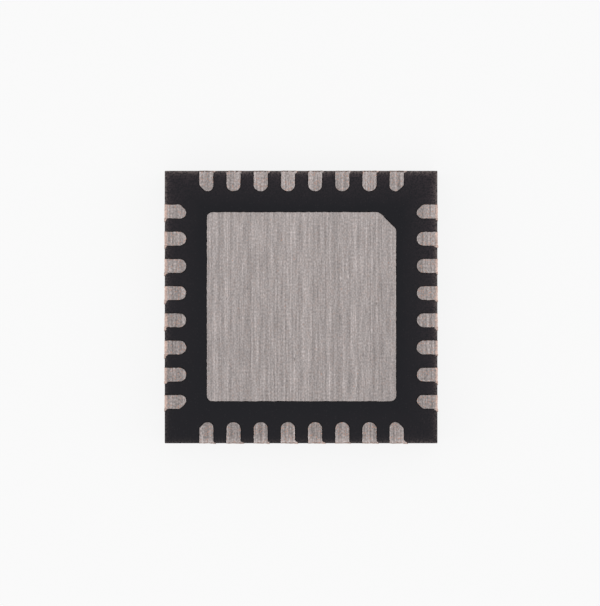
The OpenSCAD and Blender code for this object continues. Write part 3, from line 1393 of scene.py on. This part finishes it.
    def run(self, name: str, values: dict[RowInput, object]) -> Mesh:
        """Lays out one row.

        Args:
            name: the row's name.
            values: the inputs' values.

        Returns:
            The row as a plain mesh, in millimetres.
        """
        row = new_object(name, bmesh.new())
        modifier = row.modifiers.new("layout", "NODES")
        modifier.node_group = self.tree
        for entry, value in values.items():
            modifier[self.identifiers[entry]] = value
        return evaluated_mesh(row)


@dataclass
class LeadFrameLeads:
    """The four rows of leads, each with the burrs that the saw dragged from its ends."""

    sizes: PackageSizes
    finish: BrushedTin
    shapes: LeadShapes
    burr_small: Triple = (0.026, 0.026, 0.011)
    burr_large: Triple = (0.078, 0.064, 0.017)
    burr_inset: float = 0.006
    wave: Triple = (0.014, 0.020, 0.0)
    wave_density: float = 16.0
    wave_depth: float = 0.03
    seed: int = 5

    def burr_side(self, side: Side) -> int:
        """Side of a row's leads on which the saw left its burrs, up or down along the row as drawn."""
        return -1 if side in (Side.RIGHT, Side.TOP) else 1

    def values(
        self,
        side: Side,
        burrs: bpy.types.Collection,
        leads: Sequence[Object],
    ) -> dict[RowInput, object]:
        """Gathers the inputs of one row's layout.

        Args:
            side: the row's side.
            burrs: the burrs to pick from.
            leads: the first, a plain and the last lead.

        Returns:
            The layout's inputs with their values.
        """
        sizes, saw, toward = self.sizes, SAW_CUTS[side], self.burr_side(side)
        burr_end = sizes.half + saw.lip - self.burr_inset
        first, plain, last = leads
        return {
            RowInput.COUNT: sizes.leads_per_side,
            RowInput.PITCH: sizes.pitch,
            RowInput.FIRST_LEAD: first,
            RowInput.PLAIN_LEAD: plain,
            RowInput.LAST_LEAD: last,
            RowInput.BURRS: burrs,
            RowInput.BURR_KINDS: len(burrs.objects),
            RowInput.BURR_PLACE: (burr_end, toward * sizes.lead_width / 2, sizes.mould_top),
            RowInput.BURR_TURN: (0.0, 0.0, -RIGHT_ANGLE if toward > 0 else 0.0),
            RowInput.BURR_SMALL: self.burr_small,
            RowInput.BURR_LARGE: self.burr_large,
            RowInput.WAVE: self.wave,
            RowInput.WAVE_DENSITY: self.wave_density,
            RowInput.WAVED_ABOVE: sizes.mould_top - self.wave_depth,
            RowInput.LIP: saw.lip,
            RowInput.SAWN_AT: sizes.half - self.wave[0] / 2,
            RowInput.OUTSIDE: saw.outside,
            RowInput.DRAWN_FROM: sizes.half - sizes.lead_width / 2,
            RowInput.TERMINAL_TOP: sizes.terminal_top,
            RowInput.TURN: (0.0, 0.0, side.angle),
            RowInput.SEED: self.seed + side.value,
            RowInput.FINISH: self.finish.material(),
        }

    def build(self) -> list[Object]:
        """Builds the four rows from shared shapes, which are removed again.

        Returns:
            The finished pieces, one a side.
        """
        leads = [self.shapes.lead(place) for place in (0, 1, self.sizes.leads_per_side - 1)]
        burrs = bpy.data.collections.new("burr_shapes")
        for kind in range(self.shapes.burr_kinds):
            burrs.objects.link(self.shapes.burr(kind))
        layout = RowLayout()
        rows = []
        for side in Side:
            name = f"leads_{side.name.lower()}"
            mesh = layout.run(f"{name}_layout", self.values(side, burrs, leads))
            rows.append(fitted_piece(name, mesh, self.finish, self.sizes.lead_names(side)))
        for shape in [*leads, *burrs.objects]:
            bpy.data.objects.remove(shape)
        bpy.data.collections.remove(burrs)
        return rows


@dataclass
class HiddenParts:
    """Die, die attach and bond wires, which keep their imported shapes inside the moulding."""

    silicon: SpeckledFinish = SpeckledFinish(
        "silicon", dark=(0.05, 0.055, 0.07), light=(0.09, 0.095, 0.11), cells=9, metal=0.3, roughness=0.25
    )
    epoxy: SpeckledFinish = SpeckledFinish(
        "silver_epoxy", dark=(0.2, 0.2, 0.19), light=(0.45, 0.45, 0.43), cells=30, metal=0.6, roughness=0.5
    )
    gold: SpeckledFinish = SpeckledFinish(
        "gold_wire", dark=(0.75, 0.5, 0.16), light=(0.95, 0.7, 0.3), cells=40, metal=1.0, roughness=0.25
    )

    def dress(self) -> None:
        """Gives each hidden solid its finish."""
        finishes = {"silicon_die": self.silicon, "die_attach": self.epoxy}
        finishes |= {name: self.gold for name in frame["nodes"] if name.startswith("bond_wires")}
        for name, finish in finishes.items():
            solid = frame["nodes"][name]
            solid.data.materials.clear()
            solid.data.materials.append(finish.material())
            log.info("%s: dressed in %s", name, finish.name)


@dataclass(frozen=True)
class Softbox:
    """A square lamp that faces the package.

    Its azimuth counts in degrees counter-clockwise from +X, its elevation in degrees above the floor. Its
    distance and its size, the side of its face, are in metres. A level of one makes the face white.
    """

    name: str
    azimuth: float
    elevation: float
    distance: float
    size: float
    level: float

    def hang(self) -> None:
        """Hangs the lamp in its place."""
        data = bpy.data.lights.new(self.name, "AREA")
        data.size = self.size
        data.energy = self.level * math.pi * self.size * self.size
        lamp = linked(self.name, data)
        a, e = math.radians(self.azimuth), math.radians(self.elevation)
        towards = Vector((math.cos(a) * math.cos(e), math.sin(a) * math.cos(e), math.sin(e)))
        lamp.location = towards * self.distance
        lamp.rotation_euler = towards.to_track_quat("Z", "Y").to_euler()


@dataclass
class Studio:
    """Pale floor, soft light from both sides and the camera straight above."""

    sizes: PackageSizes
    # Camera, with the picture's size and the package's middle in pixels
    image_size: tuple[int, int] = (600, 606)
    body_middle: Pair = (301.49, 306.67)
    pixels_per_mm: float = 54.4
    lens: float = 200.0
    sensor: float = 36.0
    clip_end: float = 1.0
    # Floor and light
    white: float = 0.956
    floor_albedo: float = 0.9
    floor_half: float = 0.3
    floor_gap: float = 0.0005
    shadow_share: float = 0.10
    zenith: float = 0.98
    horizon: float = 0.5
    zenith_from: float = 0.9
    softboxes: tuple[Softbox, ...] = (
        Softbox("left_softbox", 180, 32, 0.16, 0.10, 1.5),
        Softbox("right_softbox", 0, 32, 0.16, 0.10, 1.2),
        Softbox("front_softbox", 270, 40, 0.18, 0.08, 0.6),
    )

    def camera(self) -> None:
        """Sets the camera over the package so that it fills the picture as in the photograph."""
        data = bpy.data.cameras.new("camera")
        data.lens = self.lens
        data.sensor_width = self.sensor
        data.clip_start = MM
        data.clip_end = self.clip_end
        camera = linked("camera", data)
        distance = self.lens / self.sensor * max(self.image_size) / self.pixels_per_mm
        right = (self.image_size[0] / 2 - self.body_middle[0]) / self.pixels_per_mm
        up = (self.body_middle[1] - self.image_size[1] / 2) / self.pixels_per_mm
        camera.location = Vector((right, up, self.sizes.terminal_top + distance)) * MM
        bpy.context.scene.camera = camera

    def floor(self) -> None:
        """Lays the floor: white to the eye and in reflections, with a share that takes the shadow."""
        sheet = bmesh.new()
        bmesh.ops.create_grid(sheet, x_segments=1, y_segments=1, size=self.floor_half / MM)
        bmesh.ops.translate(sheet, vec=(0, 0, -self.floor_gap), verts=sheet.verts)
        floor = new_object("floor", sheet)
        floor.data.transform(Matrix.Scale(MM, 4))
        material = bpy.data.materials.new("pale_floor")
        material.use_nodes = True
        graph = Graph(material.node_tree)
        path = graph.add("ShaderNodeLightPath").outputs
        rays = ("Is Camera Ray", "Is Glossy Ray", "Is Transmission Ray")
        seen = graph.fold("MAXIMUM", *(path[ray] for ray in rays))
        matt = graph.add("ShaderNodeBsdfDiffuse", {"Color": grey(self.floor_albedo)})
        glow = graph.add("ShaderNodeEmission", {"Color": grey(self.white), "Strength": 1.0})
        share = graph.product(seen, 1 - self.shadow_share)
        both = graph.add("ShaderNodeMixShader", {0: share, 1: matt.outputs[0], 2: glow.outputs[0]})
        graph.add("ShaderNodeOutputMaterial", {"Surface": both.outputs[0]})
        floor.data.materials.append(material)

    def sky(self) -> None:
        """Sets the world: soft light, stronger from above, and white to the camera past the floor."""
        world = bpy.data.worlds.new("soft_light")
        world.use_nodes = True
        graph = Graph(world.node_tree)
        up = graph.parts(graph.add("ShaderNodeTexCoord").outputs["Generated"])[2]
        strength = graph.remap(up, 0.0, self.zenith_from, self.horizon, self.zenith)
        light = graph.add("ShaderNodeBackground", {"Color": grey(1.0), "Strength": strength})
        seen = graph.add("ShaderNodeBackground", {"Color": grey(self.white), "Strength": 1.0})
        camera = graph.add("ShaderNodeLightPath").outputs["Is Camera Ray"]
        both = graph.add("ShaderNodeMixShader", {0: camera, 1: light.outputs[0], 2: seen.outputs[0]})
        graph.add("ShaderNodeOutputWorld", {"Surface": both.outputs[0]})
        bpy.context.scene.world = world

    def build(self) -> None:
        """Sets up floor, light and camera."""
        bpy.context.scene.view_settings.view_transform = "Standard"
        self.camera()
        self.floor()
        self.sky()
        for softbox in self.softboxes:
            softbox.hang()


def main() -> None:
    """Builds the pieces in order, dresses the hidden solids and sets up the studio."""
    logging.basicConfig(level=logging.INFO, format="%(name)s: %(message)s")
    sizes = PackageSizes.from_frame()
    log.info("%s", sizes)
    epoxy = FilledEpoxy(
        "filled_epoxy",
        half=sizes.half,
        top=sizes.mould_top,
        dot_centre=sizes.dot_centre,
        dot_radius=sizes.dot_radius,
        dot_level=sizes.dot_level,
    )
    pad_tin = BrushedTin(
        "brushed_pad_tin",
        tin=(0.3745, 0.339, 0.332),
        half=sizes.half,
        top=sizes.terminal_top,
        speck_share=0.07,
        pinhole_share=0.005,
        strength=1.05,
        painted_light_slope=(-0.003, 0.0125),
    )
    lead_tin = BrushedTin(
        "brushed_lead_tin",
        tin=(0.329, 0.295, 0.288),
        half=sizes.half,
        top=sizes.terminal_top,
        speck_share=0.22,
        pinhole_share=0.42,
        strength=1.45,
        painted_light_slope=(0.0065, 0.016),
    )
    Moulding(sizes, epoxy).build()
    DiePad(sizes, pad_tin).build()
    LeadFrameLeads(sizes, lead_tin, LeadShapes(sizes)).build()
    HiddenParts().dress()
    Studio(sizes).build()


if __name__ == "__main__":
    main()
